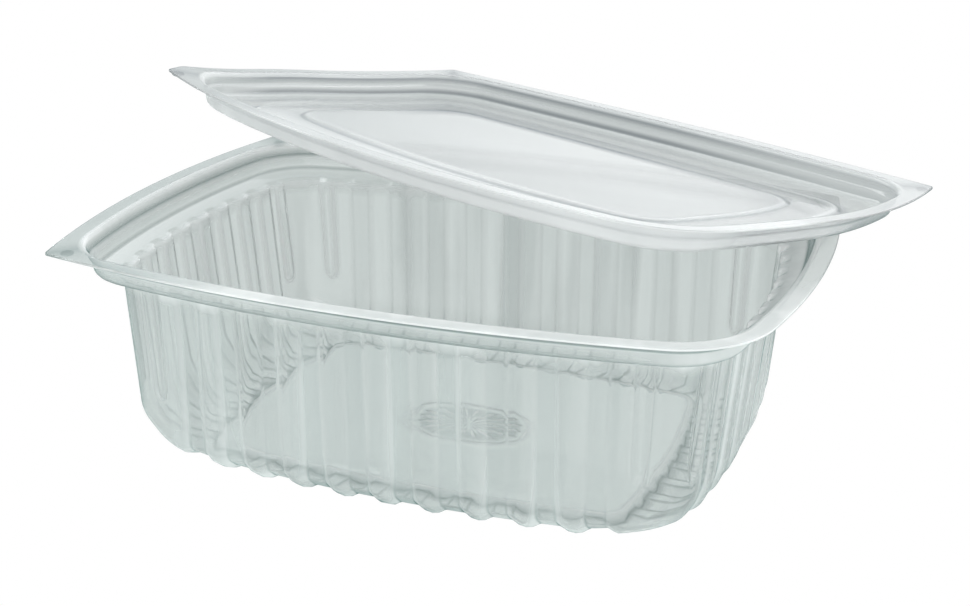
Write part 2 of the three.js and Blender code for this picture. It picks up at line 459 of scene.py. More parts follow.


# %% [markdown]
# ## The rim with its tabs
# The rim is flat. At three corners its edge runs to a point, a tab that a finger can
# lift, and the fourth corner is plainly rounded. The first few rings blend that edge
# into the round mouth. The tabs get painted shade, and the rim painted light, palest
# along its front, where the most light falls.

# %% Rings of the rim
RIM_SHARES = (0.0, 0.06, 0.3, 0.6, 0.9)
# painted light of each rim ring, from the edge inwards
RIM_LIGHT = (0.6, 0.3, 0.2, 0.2, 0.25)
TAB_FROM = 5.5
TAB_FADE = 4.0
# painted shade on the tabs
TAB_PAINTED_SHADE = 0.6
# extra painted light along the rim's front
FRONT_PAINTED_LIGHT = 0.6
FRONT_SKEW = 0.35
FRONT_FROM = 38.0
FRONT_FADE = 15.0


def rim_edge(z):
    """The rim's edge: pointed tabs at three corners, and the fourth one plainly rounded."""
    edge = level(-RIM_WIDTH, z)
    edge["corners"] = [TAB_TIP] * len(QUADRANTS)
    edge["corners"][ROUNDED_QUADRANT] = MOUTH["corner"] + RIM_WIDTH
    return edge


def rim_rings(stations, edge, inner, painted_light_scale):
    """Flat rings from the rim's edge to the mouth, with their painted light and painted shade.
    """
    outer, _ = stations.ring(edge)
    mouth, _ = stations.ring(inner)
    flat, light, dark = [], [], []
    tab = np.clip((np.hypot(*(outer - mouth).T) - TAB_FROM) / TAB_FADE, 0, 1)
    for share, line in zip(RIM_SHARES, RIM_LIGHT):
        row = outer + (mouth - outer) * share
        flat.append(np.column_stack([row, np.full(len(row), edge["z"])]))
        ahead = FRONT_SKEW * row[:, 0] - row[:, 1]
        front = np.clip((ahead - FRONT_FROM) / FRONT_FADE, 0, 1)
        # painted light along the rim, most at its front, and painted shade on the tabs
        light.append(painted_light_scale * (line + front * FRONT_PAINTED_LIGHT) * (1 - tab))
        dark.append(tab * TAB_PAINTED_SHADE)
    return flat, light, dark


print("tabs reach", RIM_WIDTH, "mm past the mouth, with a tip of radius", TAB_TIP)

# %% [markdown]
# ## The tray's profile
# Below the flat rim comes a short steep neck with a small ridge that the lid snaps behind,
# a ledge, the ribbed wall, a round heel and a foot ring. The floor inside that ring is a
# flat panel a little above the table. Beside each corner a short groove ends in a half
# circle above the heel, so the wall has a few more levels at that height.

# %% Levels of the tray
NECK = 50.6
SHOULDER = 48.6
HEEL = 11.9
PANEL = 2.0
END_HEIGHT = 17.5
END_FLAT = 1.1
END_HALF = 3.1
END_LEVELS = (END_HALF + 1, 2.0, 0.9, -0.3)
under = tray_height / MM - SHEET
wall_top = level(0, SHOULDER - 0.5, turn=0.3, strength=1, light=0.6, a=81.8, b=54.9,
                 bow_a=9.6, bow_b=8.2, corner=14.7)
wall_foot = level(0, HEEL, turn=3.5, strength=1, a=78.3, b=54.4, bow_a=8, bow_b=6.5,
                  corner=14.3)
# The light and dark values paint light and shade lines on the rim, neck, shoulder and floor.
tray_levels = rounded([
    level(-0.9, under, light=0.3),
    level(0.1, under - 0.45, turn=0.5, light=0.9),
    level(0.7, 54.7, turn=0.35, dark=0.7),
    level(1.25, 54.2, turn=0.35, light=0.6),
    level(2.2, NECK, turn=1.1, dark=0.6),
    level(0, SHOULDER + 0.45, turn=0.2, dark=0.25, a=82.9, b=56.1, bow_a=9.7, bow_b=8.3,
          corner=15.3),
    wall_top,
    *(between(wall_top, wall_foot, END_HEIGHT + above) for above in END_LEVELS),
    wall_foot,
    level(0, 4.4, turn=2.5, strength=1, up=0.5, a=75.1, b=53.7, bow_a=7.5, bow_b=7,
          corner=22.4),
    level(0, 0, turn=2, strength=1, up=1, a=68.4, b=48.4, bow_a=7, bow_b=7.5, corner=26.9),
    level(0, 0, turn=0.5, strength=1, up=1, dark=0.9, a=60, b=41.4, bow_a=3.6, bow_b=4,
          corner=6),
    level(0, PANEL, light=0.5, a=58.8, b=40.2, bow_a=3.5, bow_b=3.9, corner=5),
], longest=3.2)
print("tray levels", len(tray_levels))

# %% [markdown]
# ## The fluted oval
# A mould leaves a small raised sign in the middle of the floor. Here it is a plain oval
# with a low border and a fan of flutes. The flutes are a cosine of the angle round it,
# so a whole number of them fits.

# %% Rings of the floor panel and the oval
OVAL_CENTRE = np.array([2.0, -2.5])
OVAL = {"a": 18.0, "b": 11.5, "bow_a": 5.0, "bow_b": 3.5, "corner": 8.0}
OVAL_RELIEF = 0.4
FLUTES = 16
PANEL_SHARES = (0.02, 0.06, 0.3, 0.6, 0.9)
# painted light along the edge of the floor panel
PANEL_EDGE_LIGHT = 0.8
OVAL_SHARES = (1.06, 1.0, 0.95, 0.9, 0.84, 0.74, 0.62, 0.5, 0.38, 0.28, 0.14)
BORDER = {"middle": 0.96, "width": 0.05, "power": 2}
PETALS = {"middle": 0.52, "width": 0.26, "power": 4}
BETWEEN_PETALS = {"middle": 0.6, "width": 0.22, "power": 4}
# painted light on the oval's border and petals, and painted shade between the petals
BORDER_LIGHT = 0.6
PETAL_LIGHT = 0.8
BETWEEN_DARK = 0.5


def hump(share, middle, width, power):
    """1 in the middle and little beyond the width. A higher power makes it squarer."""
    return math.exp(-((share - middle) / width) ** power)


def panel_rings(stations, edge):
    """Rings from the panel's edge to the oval, then the oval's relief with its painted light and
    shade.
    """
    oval, _ = stations.ring(OVAL)
    rings, light, dark = [], [], []
    for share in PANEL_SHARES:
        row = edge + (oval + OVAL_CENTRE - edge) * share
        rings.append(np.column_stack([row, np.full(len(row), PANEL)]))
        light.append(np.full(len(row), PANEL_EDGE_LIGHT * (share == PANEL_SHARES[0])))
        dark.append(np.zeros(len(row)))
    angle = np.arctan2(oval[:, 1] * OVAL["a"], oval[:, 0] * OVAL["b"])
    for share in OVAL_SHARES:
        ridge = hump(share, **BORDER)
        petal = hump(share, **PETALS) * np.clip(np.cos(FLUTES * angle), 0, 1)
        height = PANEL + OVAL_RELIEF * (ridge + petal)
        rings.append(np.column_stack([oval * share + OVAL_CENTRE, height]))
        # painted light on the raised border and petals, painted shade between them
        light.append(BORDER_LIGHT * ridge + PETAL_LIGHT * petal)
        dark.append(BETWEEN_DARK * (1 - petal) * hump(share, **BETWEEN_PETALS))
    return rings, light, dark


print("the oval is", 2 * OVAL["a"], "by", 2 * OVAL["b"], "mm, with", FLUTES, "flutes")

# %% [markdown]
# ## Painted light and shade of the wall
# The folded edges of the grooves and the ends of the short ones get painted light. The
# flats between them, the heel and the inner corners of the foot ring get painted shade, and
# the neck's right end painted light, as it faces a window. A formula for each is enough,
# because nearly all of them follow the marks of the stations.

# %% Lines of the wall
# Strengths of painted light and painted shade: on the foot's ribs, flats and inner folds, at the
# ends of the short grooves, on the heel and at the neck's right end.
FOOT_LIGHT = 0.3
FOOT_DARK = 0.12
FOOT_FOLD_SHADE = 0.75
END_LIGHT = 0.7
END_FRONT_LIGHT = 0.25
END_WIDTH = 0.8
HEEL_DARK = 0.1
RIGHT_LIGHT = 0.7
RIGHT_FROM = 55.0
RIGHT_WIDTH = 20.0


def wall_lines(marks, one, row):
    """How much painted light and painted shade the points of one level get."""
    on_wall = one["strength"] * (1 - one["up"])
    reach = np.hypot(marks["from_short"], max(0, END_HEIGHT + END_HALF - one["z"]))
    end = np.exp(-((reach - (END_FLAT + END_HALF) / 2) / END_WIDTH) ** 2)
    end = end * np.where(row[:, 1] > 0, END_LIGHT, END_FRONT_LIGHT)
    right = np.clip((row[:, 0] - RIGHT_FROM) / RIGHT_WIDTH, 0, 1) * (one["z"] > SHOULDER - 1)
    ribs = FOOT_LIGHT * (1 - marks["groove"]) * one["up"]
    # painted light at folds, groove ends, foot ribs and the neck's right end
    light = (marks["fold"] + end) * on_wall + ribs + RIGHT_LIGHT * right
    foot = np.maximum(FOOT_DARK * marks["groove"], FOOT_FOLD_SHADE * marks["fold_inside"])
    halfway_round_heel = 4 * one["up"] * (1 - one["up"])
    # painted shade on the foot, the groove flats and the heel
    dark = foot * one["up"] + marks["painted_flat_shade"] * on_wall + HEEL_DARK * halfway_round_heel
    return np.maximum(one["light"], light), np.maximum(one["dark"], dark)


print("short grooves end", END_HEIGHT, "mm above the table")

# %% [markdown]
# ## The pips
# Under each tab sits a small round pip, which keeps stacked trays a little apart so
# that they come off the pile one at a time. Its place is only marked here.

# %% Where the pips go
TRAY_PIP_RING = 3
LID_PIP_RING = 2


def pip_marks(stations, ring, rings):
    """1 at the point of a rim ring in the middle of each tab, where a pip will hang."""
    corners = np.flatnonzero(stations.marks["along"] == LONG["corner"])
    marks = np.zeros(rings * stations.count + 1)
    marks[ring * stations.count + np.delete(corners, ROUNDED_QUADRANT)] = 1
    return marks


rim_marks = pip_marks(lid_stations, LID_PIP_RING, len(RIM_SHARES))
print("pips on the lid's rim", int(rim_marks.sum()))

# %% [markdown]
# ## The tray's skin
# The rim, the levels and the floor come together in one skin. It has no grooves yet:
# each point only knows how strongly, and in which direction, a groove would press it.

# %% Building the tray's skin
def tray_skin():
    """The tray without its grooves, and all that the later steps ask of its points."""
    stations = tray_stations
    rings, light, dark = rim_rings(stations, rim_edge(under), tray_levels[0], 1.0)
    nothing = np.zeros(stations.count)
    nowhere = np.zeros((stations.count, 3))
    strength = [nothing] * len(rings)
    inwards = [nowhere] * len(rings)
    for one in tray_levels:
        row, normal = stations.ring(one)
        rings.append(np.column_stack([row, np.full(len(row), one["z"])]))
        lean = one["up"] * math.pi / 2
        upwards = np.full(len(row), math.sin(lean))
        inwards.append(np.column_stack([-normal * math.cos(lean), upwards]))
        strength.append(nothing + one["strength"])
        row_light, row_dark = wall_lines(stations.marks, one, row)
        light.append(row_light)
        dark.append(row_dark)
    floor, floor_light, floor_dark = panel_rings(stations, row)
    strength += [nothing] * len(floor)
    inwards += [nowhere] * len(floor)
    rings += floor
    attributes = {
        "along": on_points([stations.marks["along"] * MM] * len(rings)),
        "on_long_side": on_points([stations.marks["on_long"]] * len(rings)),
        "strength": on_points(strength),
        # light and dark carry the painted light and painted shade to the material
        "light": on_points(light + floor_light),
        "dark": on_points(dark + floor_dark),
        "pip": pip_marks(stations, TRAY_PIP_RING, len(rings)),
        "inwards": np.vstack(inwards + [np.zeros((1, 3))]),
    }
    skin = skin_mesh("tray_skin", rings, attributes, [*OVAL_CENTRE, PANEL])
    skin.data.transform(Matrix.Translation((tray_centre.x, tray_centre.y, 0)))
    return skin


plain_tray = tray_skin()

# %% [markdown]
# ## Pressing the grooves
# The ribs follow one rule all round, so Geometry Nodes press them: for each point the
# tree works out how far it is from the middle of its groove, and moves it that way in.
# Between two grooves the rib stays as an arc of a circle, and beside each corner a
# narrower groove ends in a half circle above the heel.

# %% Helpers for geometry trees
def tree_with_inputs(name, values):
    """A geometry tree with a named input for each size, and the ids of those inputs."""
    tree = bpy.data.node_groups.new(name, "GeometryNodeTree")
    interface = tree.interface
    interface.new_socket("Geometry", in_out="INPUT", socket_type="NodeSocketGeometry")
    interface.new_socket("Geometry", in_out="OUTPUT", socket_type="NodeSocketGeometry")
    ids = {}
    for label, value in values.items():
        kind = "NodeSocketMaterial" if label == "Material" else "NodeSocketFloat"
        ids[label] = interface.new_socket(label, in_out="INPUT", socket_type=kind).identifier
    graph = Graph(tree)
    entry = tree.nodes.new("NodeGroupInput")
    sockets = {label: Socket(graph, entry.outputs[label]) for label in values}
    return graph, Socket(graph, entry.outputs["Geometry"]), sockets, ids


def attribute(graph, name, kind="FLOAT"):
    """What the mesh knows of each point under a name."""
    return graph.node("GeometryNodeInputNamedAttribute", {"data_type": kind}, {"Name": name})


def finish_tree(graph, geometry, material):
    """Real faces with their material are all that leaves a tree."""
    real = graph.node("GeometryNodeRealizeInstances", None, [geometry])
    painted = graph.node("GeometryNodeSetMaterial", None,
                         {"Geometry": real, "Material": material})
    leave = graph.tree.nodes.new("NodeGroupOutput")
    graph.tree.links.new(painted.socket, leave.inputs[0])


# %% [markdown]
# ## The rule of a groove
# The tree's inputs are the sizes of the grooves, so other sizes can be tried out in the
# modifier's panel. The flat of a groove has the full depth, and the rib's arc rises from
# its edge. A short groove slopes up smoothly from its narrow flat.

# %% The groove tree
GROOVES = {
    "Long pitch": LONG["pitch"] * MM,
    "Short pitch": SHORT["pitch"] * MM,
    "Long land": LONG["land"] * MM,
    "Short land": SHORT["land"] * MM,
    "Long grooves": LONG["grooves"],
    "Short grooves": SHORT["grooves"],
    "Depth": 1.4 * MM,
    "End half width": END_HALF * MM,
    "End flat": END_FLAT * MM,
    "End height": END_HEIGHT * MM,
}


def groove_tree(values):
    """Moves every point of the skin into its groove, by its strength."""
    graph, geometry, size, ids = tree_with_inputs("press_grooves", values)
    on_long = attribute(graph, "on_long_side")
    along = attribute(graph, "along")
    position = graph.node("GeometryNodeInputPosition")
    height = graph.node("ShaderNodeSeparateXYZ", None, [position], output="Z")

    def of_side(what):
        return size[f"Long {what}"] * on_long + size[f"Short {what}"] * (1 - on_long)

    pitch = of_side("pitch")
    flat = of_side("land") * 0.5
    grooves = of_side("grooves")
    depth = size["Depth"]
    place = along / pitch
    index = place.math("FLOOR")
    off = (place - index - 0.5).math("ABSOLUTE") * pitch

    crown = pitch * 0.5 - flat
    radius = (crown * crown + depth * depth) / (depth * 2)
    from_crown = (crown - (off - flat).math("MAXIMUM", 0)).math("MAXIMUM", 0)
    arc = (radius * radius - from_crown * from_crown).math("SQRT") - (radius - depth)
    groove = (depth - arc) * index.below(grooves - 0.5)

    drop = (size["End height"] + size["End half width"] - height).math("MAXIMUM", 0)
    reach = (off * off + drop * drop).math("SQRT")
    slope = 1 - ramp(graph, reach, size["End flat"], size["End half width"])
    is_end = index.above(grooves - 0.5) * index.below(grooves + 0.5)
    end_groove = depth * slope * is_end

    pressed = groove.math("MAXIMUM", end_groove) * attribute(graph, "strength")
    inwards = attribute(graph, "inwards", "FLOAT_VECTOR")
    offset = graph.node("ShaderNodeVectorMath", {"operation": "SCALE"},
                        {"Vector": inwards, "Scale": pressed})
    moved = graph.node("GeometryNodeSetPosition", None, {"Geometry": geometry, "Offset": offset})
    finish_tree(graph, moved, size["Material"])
    return graph.tree, ids


print("a groove is pressed in by", GROOVES["Depth"] / MM, "mm")

# %% [markdown]
# ## Hanging the pips
# A pip is a squashed ball. The tree puts one under every marked point, lets them hang
# as low as its Drop input says, and gives them a painted highlight.

# %% The pip tree
PIPS = {"Radius": 1.7 * MM, "Half height": 0.6 * MM, "Drop": 0.65 * MM}
# strength of the painted highlight on each pip
PIP_LIGHT = 0.5


def pip_tree(values):
    """Hangs a small round pip under every marked point."""
    graph, geometry, size, ids = tree_with_inputs("hang_pips", values)
    marked = attribute(graph, "pip").above(0.5)
    points = graph.node("GeometryNodeMeshToPoints", None,
                        {"Mesh": geometry, "Selection": marked})
    ball = graph.node("GeometryNodeMeshUVSphere", None,
                      {"Segments": 24, "Rings": 12, "Radius": size["Radius"]})
    squash = graph.node("ShaderNodeCombineXYZ", None,
                        [1.0, 1.0, size["Half height"] / size["Radius"]])
    lens = graph.node("GeometryNodeTransform", None, {"Geometry": ball, "Scale": squash})
    # the pip's painted highlight
    highlighted_pip = graph.node("GeometryNodeStoreNamedAttribute", None,
                        {"Geometry": lens, "Name": "light", "Value": PIP_LIGHT})
    drop = graph.node("ShaderNodeCombineXYZ", None, [0.0, 0.0, size["Drop"] * -1])
    pips = graph.node("GeometryNodeInstanceOnPoints", None,
                      {"Points": points, "Instance": highlighted_pip})
    hung = graph.node("GeometryNodeTranslateInstances", None,
                      {"Instances": pips, "Translation": drop})
    join = graph.tree.nodes.new("GeometryNodeJoinGeometry")
    graph.tree.links.new(hung.socket, join.inputs[0])
    graph.tree.links.new(geometry.socket, join.inputs[0])
    finish_tree(graph, Socket(graph, join.outputs[0]), size["Material"])
    return graph.tree, ids


print("a pip is", 2 * PIPS["Radius"] / MM, "mm across")

# %% [markdown]
# ## From a tree to a plain mesh
# The export keeps plain meshes only. Each tree is therefore evaluated once and its
# result kept, and the same is done with the modifier that gives the skin its thickness.
# The skin is the outside, so the thickness goes to the side away from its normals.

# %% Evaluating modifiers
def grown(base, tree, ids, values, name):
    """The plain mesh that a geometry tree makes of an object, as an object of its own."""
    modifier = base.modifiers.new("grow", "NODES")
    modifier.node_group = tree
    for label, value in values.items():
        modifier[ids[label]] = value if label == "Material" else float(value)
    view = bpy.context.evaluated_depsgraph_get()
    mesh = bpy.data.meshes.new_from_object(base.evaluated_get(view), depsgraph=view)
    mesh.name = name
    piece = bpy.data.objects.new(name, mesh)
    bpy.context.scene.collection.objects.link(piece)
    bpy.data.objects.remove(base)
    return piece


def thicken(piece, thickness):
    """Gives a skin its thickness on the side away from its normals, as plain mesh."""
    solid = piece.modifiers.new("sheet", "SOLIDIFY")
    solid.thickness = thickness
    solid.offset = -1
    solid.use_even_offset = False
    view = bpy.context.evaluated_depsgraph_get()
    mesh = bpy.data.meshes.new_from_object(piece.evaluated_get(view), depsgraph=view)
    piece.modifiers.remove(solid)
    piece.data = mesh
    mesh.shade_smooth()
    return piece


# %% [markdown]
# ## Clear plastic
# Formed sheet is clear but never perfect: it has a faint grey-green body, and pulling it
# over the mould leaves long soft waves that bend what is seen through it. A clear
# Principled node does that, with a stretched noise for its tint and as a bump.
# A second, cloudy Principled node stands for the sheet's milkiness, and it glows a little
# with its own colour, which is painted light. It takes over a little everywhere, more in
# the drawn streaks, and most along the painted light and painted shade lines of the folds.
# Seen edge on, the sheet darkens as well, which draws its outline.

# %% The clear plastic material
WAVE_STRENGTH = 0.25
STREAKS = (0.42, 0.68)
STREAK_SHARE = 0.22
STREAK_LIGHT = 0.2
# the pale colour of the painted light lines
FOLD_LIGHT = (0.88, 0.9, 0.9)
EDGE_DARK = 0.85
LINE_SHARE = 0.5
OUTLINE_SHARE = 0.4
MOST_CLOUDY = 0.9
CLOUDY_ROUGHNESS = 0.25
# how strongly the cloudy part glows: painted light
PAINTED_GLOW = 0.4


def clear_plastic(name, look):
    """Clear sheet with a little milkiness that glows faintly, and painted light and shade lines
    where it is folded.
    """
    material = bpy.data.materials.new(name)
    material.use_nodes = True
    material.node_tree.nodes.clear()
    graph = Graph(material.node_tree)

    def line(key):
        return graph.node("ShaderNodeAttribute", {"attribute_name": key}, output="Fac")

    place = graph.node("ShaderNodeTexCoord", output="Object")
    stretched = graph.node("ShaderNodeMapping", None,
                           {"Vector": place, "Scale": look["wave_scale"]})
    waves = graph.node("ShaderNodeTexNoise", None,
                       {"Vector": stretched, "Scale": 1.0, "Detail": 2.0, "Roughness": 0.5})
    bump = graph.node("ShaderNodeBump", None, {
        "Strength": WAVE_STRENGTH, "Distance": look["wave_height"], "Height": waves})
    clear = graph.node("ShaderNodeBsdfPrincipled", None, {
        "Base Color": blend(graph, *look["tint"], waves), "Roughness": look["roughness"],
        "IOR": 1.5, "Transmission Weight": 1.0, "Normal": bump})

    streak = ramp(graph, waves, *STREAKS)
    facing = graph.node("ShaderNodeLayerWeight", None, {"Blend": 0.5}, output="Facing")
    outline = ramp(graph, facing, look["edge"], 1.0)
    # Painted light and painted shade lines from the mesh; the dark also takes the edge-on
    # darkening.
    light = line("light") * (1 - STREAK_LIGHT / 2 + streak * STREAK_LIGHT)
    dark = (line("dark") + outline * EDGE_DARK).math("MINIMUM", 1)
    milk_with_painted_light = blend(graph, look["milk"], FOLD_LIGHT, light.math("MINIMUM", 1))
    milk_with_painted_lines = blend(graph, milk_with_painted_light, look["fold"], dark)
    # The cloudy part glows with its own colour: painted light.
    cloudy = graph.node("ShaderNodeBsdfPrincipled", None, {
        "Base Color": milk_with_painted_lines, "Roughness": CLOUDY_ROUGHNESS, "Specular IOR Level": 0.6,
        "Emission Color": milk_with_painted_lines, "Emission Strength": PAINTED_GLOW})

    drawn = streak * line("strength") * STREAK_SHARE
    lines = light * LINE_SHARE + dark * LINE_SHARE + outline * OUTLINE_SHARE
    share = (look["haze"] + drawn + lines).math("MINIMUM", MOST_CLOUDY)
    mixed = graph.node("ShaderNodeMixShader", None, [share, clear, cloudy])
    finish_shader(graph, mixed)
    return material


# %% [markdown]
# ## Two sheets of plastic
# The tray is greener and its waves run down the walls, as it was drawn deepest there.
# The lid is flatter, so its waves are rounder. Its cloudiness is a darker grey, and its
# surface a little rougher.

# %% The finishes of the tray and the lid
tray_plastic = clear_plastic("tray_plastic", {
    "tint": ((0.93, 0.955, 0.95), (0.97, 0.985, 0.98)),
    "milk": (0.64, 0.70, 0.69),
    # fold is the colour of the painted shade lines
    "fold": (0.04, 0.11, 0.10),
    "haze": 0.1,
    "roughness": 0.02,
    "edge": 0.7,
    "wave_scale": (90, 90, 9),
    "wave_height": 0.2 * MM,
})
lid_plastic = clear_plastic("lid_plastic", {
    "tint": ((0.96, 0.97, 0.97), (0.99, 0.99, 0.99)),
    "milk": (0.45, 0.475, 0.48),
    # fold is the colour of the painted shade lines
    "fold": (0.05, 0.075, 0.1),
    "haze": 0.12,
    "roughness": 0.04,
    "edge": 0.88,
    "wave_scale": (20, 40, 30),
    "wave_height": 0.15 * MM,
})
print("nodes of the tray's plastic", len(tray_plastic.node_tree.nodes))

# %% [markdown]
# ## The finished tray
# The skin goes through the groove tree and the pip tree, and then gets its thickness.
# Thickness comes last. Added earlier, it would be pressed thin on the grooves' slopes.

# %% Making the tray
groove_values = dict(GROOVES, Material=tray_plastic)
press_grooves, groove_ids = groove_tree(groove_values)
pressed = grown(plain_tray, press_grooves, groove_ids, groove_values, "pressed_tray")
pip_values = dict(PIPS, Material=tray_plastic)
hang_pips, pip_ids = pip_tree(pip_values)
tray = grown(pressed, hang_pips, pip_ids, pip_values, "clear_tray")
thicken(tray, SHEET * MM)
print("tray faces", len(tray.data.polygons), "z", tray.bound_box[0][2], tray.bound_box[6][2])

# %% [markdown]
# ## The lid
# The lid is formed from the same outline: the same flat rim with its tabs, a plug with a
# ridge that snaps into the tray's neck, and a top panel inside two shallow frames.
# It lies askew on the tray, tipped back, and being thin it is sprung a little.

# %% Levels of the lid
PLUG_DEPTH = 6.9
FRAME_STEP = 0.7
FRAME_CORNER = 12.0
frame_one = PLUG_DEPTH - FRAME_STEP
frame_two = PLUG_DEPTH - 2 * FRAME_STEP
# The light and dark values paint light and shade lines on the rim, the plug and the frames.
lid_levels = rounded([
    level(-0.8, -SHEET, light=0.2),
    level(0.1, -0.9, turn=0.5, light=0.6),
    level(0.5, -3.2, turn=0.35, dark=0.2),
    level(1.0, -3.7, turn=0.35, light=0.4),
    level(1.5, -6.0, turn=1.0),
    level(3.2, -PLUG_DEPTH, turn=1.4, dark=0.15),
    level(13.0, -PLUG_DEPTH, turn=0.6, corner=FRAME_CORNER, dark=0.6),
    level(14.2, -frame_one, turn=0.6, corner=FRAME_CORNER, light=0.8),
    level(24.0, -frame_one, turn=0.6, corner=FRAME_CORNER, dark=0.4),
    level(25.2, -frame_two, turn=0.6, corner=FRAME_CORNER, light=0.7),
    level(27.0, -frame_two, corner=FRAME_CORNER),
], longest=2.5)
print("lid levels", len(lid_levels))

# %% [markdown]
# ## The sprung lid
# A lid that does not sit in its mouth bends by itself. Its ends and its back edge lift,
# its front edge drops, and it is twisted a little. All of that is one smooth lift of the
# flat lid, and one tab is bent up more.

# %% How the lid is sprung
END_LIFT = 2.0
BACK_LIFT = 4.6
FRONT_LIFT = -1.2
TWIST = 0.83
TAB_LIFT = 1.7
TAB_REACH = 30.0


def sprung(points):
    """The lift of each point of the sprung lid above a flat one, in millimetres."""
    across = points[:, 0] / (MOUTH["a"] + RIM_WIDTH)
    deep = points[:, 1] / (MOUTH["b"] + RIM_WIDTH)
    side = np.where(deep > 0, BACK_LIFT, FRONT_LIFT)
    bow = END_LIFT * across**2 + side * deep**2 + TWIST * across * deep
    from_tip = np.hypot(points[:, 0] + MOUTH["a"], points[:, 1] + MOUTH["b"] - MOUTH["bow_a"])
    return bow + TAB_LIFT * np.maximum(0, 1 - from_tip / TAB_REACH) ** 2


tab_tip = np.array([[-MOUTH["a"], MOUTH["bow_a"] - MOUTH["b"]]])
print("the front left tab lifts", round(sprung(tab_tip)[0], 2), "mm")

# %% [markdown]
# ## Painted light and shade of the lid
# The plug is seen through the top panel. At the back and the left its two folds get
# painted dark lines, a painted reflection of a dark room, which fade towards the right. At
# the front the plug's wall is turned up to the light and gets painted light.

# %% Lines of the lid
BACK_LINES = (-1.7, -5.4)
BACK_LINE_WIDTH = 0.7
# strength of the painted dark reflection lines at the plug's back and left
BACK_DARK = 0.85
BACK_FADE = 25.0
RIGHT_FADE = 0.65
LEFT_FROM = 60.0
LEFT_END = 45.0
PLUG_FROM = 20.0
# painted light on the front of the plug
PLUG_PAINTED_LIGHT = 0.8


def plug_lines(one, row):
    """How much painted light and painted shade the points of one level of the lid get."""
    at_line = max(math.exp(-((one["z"] - line) / BACK_LINE_WIDTH) ** 2) for line in BACK_LINES)
    left = np.minimum(-row[:, 0] - LEFT_FROM, row[:, 1] + LEFT_END)
    away = np.maximum(row[:, 1], left)
    fading = 1 - RIGHT_FADE * np.clip(row[:, 0] / LEFT_FROM, 0, 1)
    back = np.clip(away / BACK_FADE, 0, 1) * fading * at_line * BACK_DARK
    front = np.clip((-row[:, 1] - PLUG_FROM) / BACK_FADE, 0, 1) * (one["z"] > -PLUG_DEPTH)
    front = front * np.clip((row[:, 0] + MOUTH["a"]) / BACK_FADE, 0, 1)
    return np.maximum(one["light"], front * PLUG_PAINTED_LIGHT), np.maximum(one["dark"], back)


print("the lid's dark lines lie", BACK_LINES, "mm from its rim")

# %% [markdown]
# ## The lid's skin
# Rim, plug and panel are joined as on the tray, and then lifted as the lid is sprung.
# The panel is divided by a few smaller rings, so that it can bend too.

# %% Building the lid's skin
# how strong the painted light of the lid's rim is
LID_PAINTED_LIGHT = 0.75
TOP_SHARES = (0.9, 0.78, 0.65, 0.5, 0.35, 0.2, 0.08)


def lid_skin():
    """The sprung lid, still lying level about its own middle."""
    stations = lid_stations
    rings, light, dark = rim_rings(stations, rim_edge(-SHEET), lid_levels[0], LID_PAINTED_LIGHT)
    nothing = np.zeros(stations.count)
    for one in lid_levels:
        row, _ = stations.ring(one)
        rings.append(np.column_stack([row, np.full(len(row), one["z"])]))
        row_light, row_dark = plug_lines(one, row)
        light.append(row_light)
        dark.append(row_dark)
    for share in TOP_SHARES:
        rings.append(np.column_stack([row * share, np.full(len(row), -frame_two)]))
        light.append(nothing)
        dark.append(nothing)
    for ring in rings:
        ring[:, 2] += sprung(ring)
    attributes = {
        # light and dark carry the painted light and painted shade to the material
        "light": on_points(light),
        "dark": on_points(dark),
        "pip": pip_marks(stations, LID_PIP_RING, len(rings)),
    }
    return skin_mesh("lid_skin", rings, attributes, [0, 0, -frame_two])


pip_values = dict(PIPS, Material=lid_plastic)
lid = grown(lid_skin(), hang_pips, pip_ids, pip_values, "clear_lid")
thicken(lid, SHEET * MM)

# %% [markdown]
# ## The lid in its pose
# The lid is turned and tipped to the pose it lies in. It comes out about a quarter of a
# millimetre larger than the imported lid, so it is first fitted to that one's box and then
# moved to the middle of it.

# %% Laying the lid on the tray
LID_TURN = Euler((-0.1605, 0.0983, -0.352), "ZYX")
lid.data.transform(LID_TURN.to_matrix().to_4x4())
corners = np.array([v.co for v in lid.data.vertices])
lid_size = corners.max(0) - corners.min(0)
lid_fit = np.minimum(1, np.array(lid_high - lid_low) / lid_size)
lid.data.transform(Matrix.Diagonal((*lid_fit, 1)))
lid_middle = Vector((corners.min(0) + corners.max(0)) / 2 * lid_fit)
lid.data.transform(Matrix.Translation((lid_low + lid_high) / 2 - lid_middle))
print("lid size", lid_size, "fitted by", lid_fit)

# %% [markdown]
# ## Fixing the pieces to the frame
# Each finished mesh stands for its imported node.
# Both nodes belong to the one body, as nothing joins the lid to the tray.

for piece, node, slot in ((tray, "tray", "tray_plastic"), (lid, "lid", "lid_plastic")):
    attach(piece, "root")
    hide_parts(node)
    print(piece.name, "stands for", node)

# %% [markdown]
# ## The studio
# Clear plastic shows only what it bends and mirrors, so its surroundings are its looks.
# The Light Path node tells by which way the light comes, and each way may see a table and
# walls of its own: white to the eye, a soft grey-green through the plastic, and a room
# with bright and dark places in its mirror. Milky places are lit by a nearly even white.

# %% What each kind of light sees
WHITE = (1.0, 1.0, 1.0)
SEEN_THROUGH = (0.71, 0.755, 0.745)
HALF_TABLE = 6.0
TABLE_GAP = 0.2 * MM
TABLE_LIGHT = (1.08, 1.11, 1.1)
CARD_BRIGHT = (0.7, 0.76, 0.75)
CARD_DARK = (0.15, 0.24, 0.23)
CARDS = 5
CARD_TURN = 0.6
CARD_EDGES = (-0.5, 0.7)


def light_path(graph, question):
    return graph.node("ShaderNodeLightPath", output=question)


def part_of(graph, vector, axis):
    return graph.node("ShaderNodeSeparateXYZ", None, [vector], output=axis)


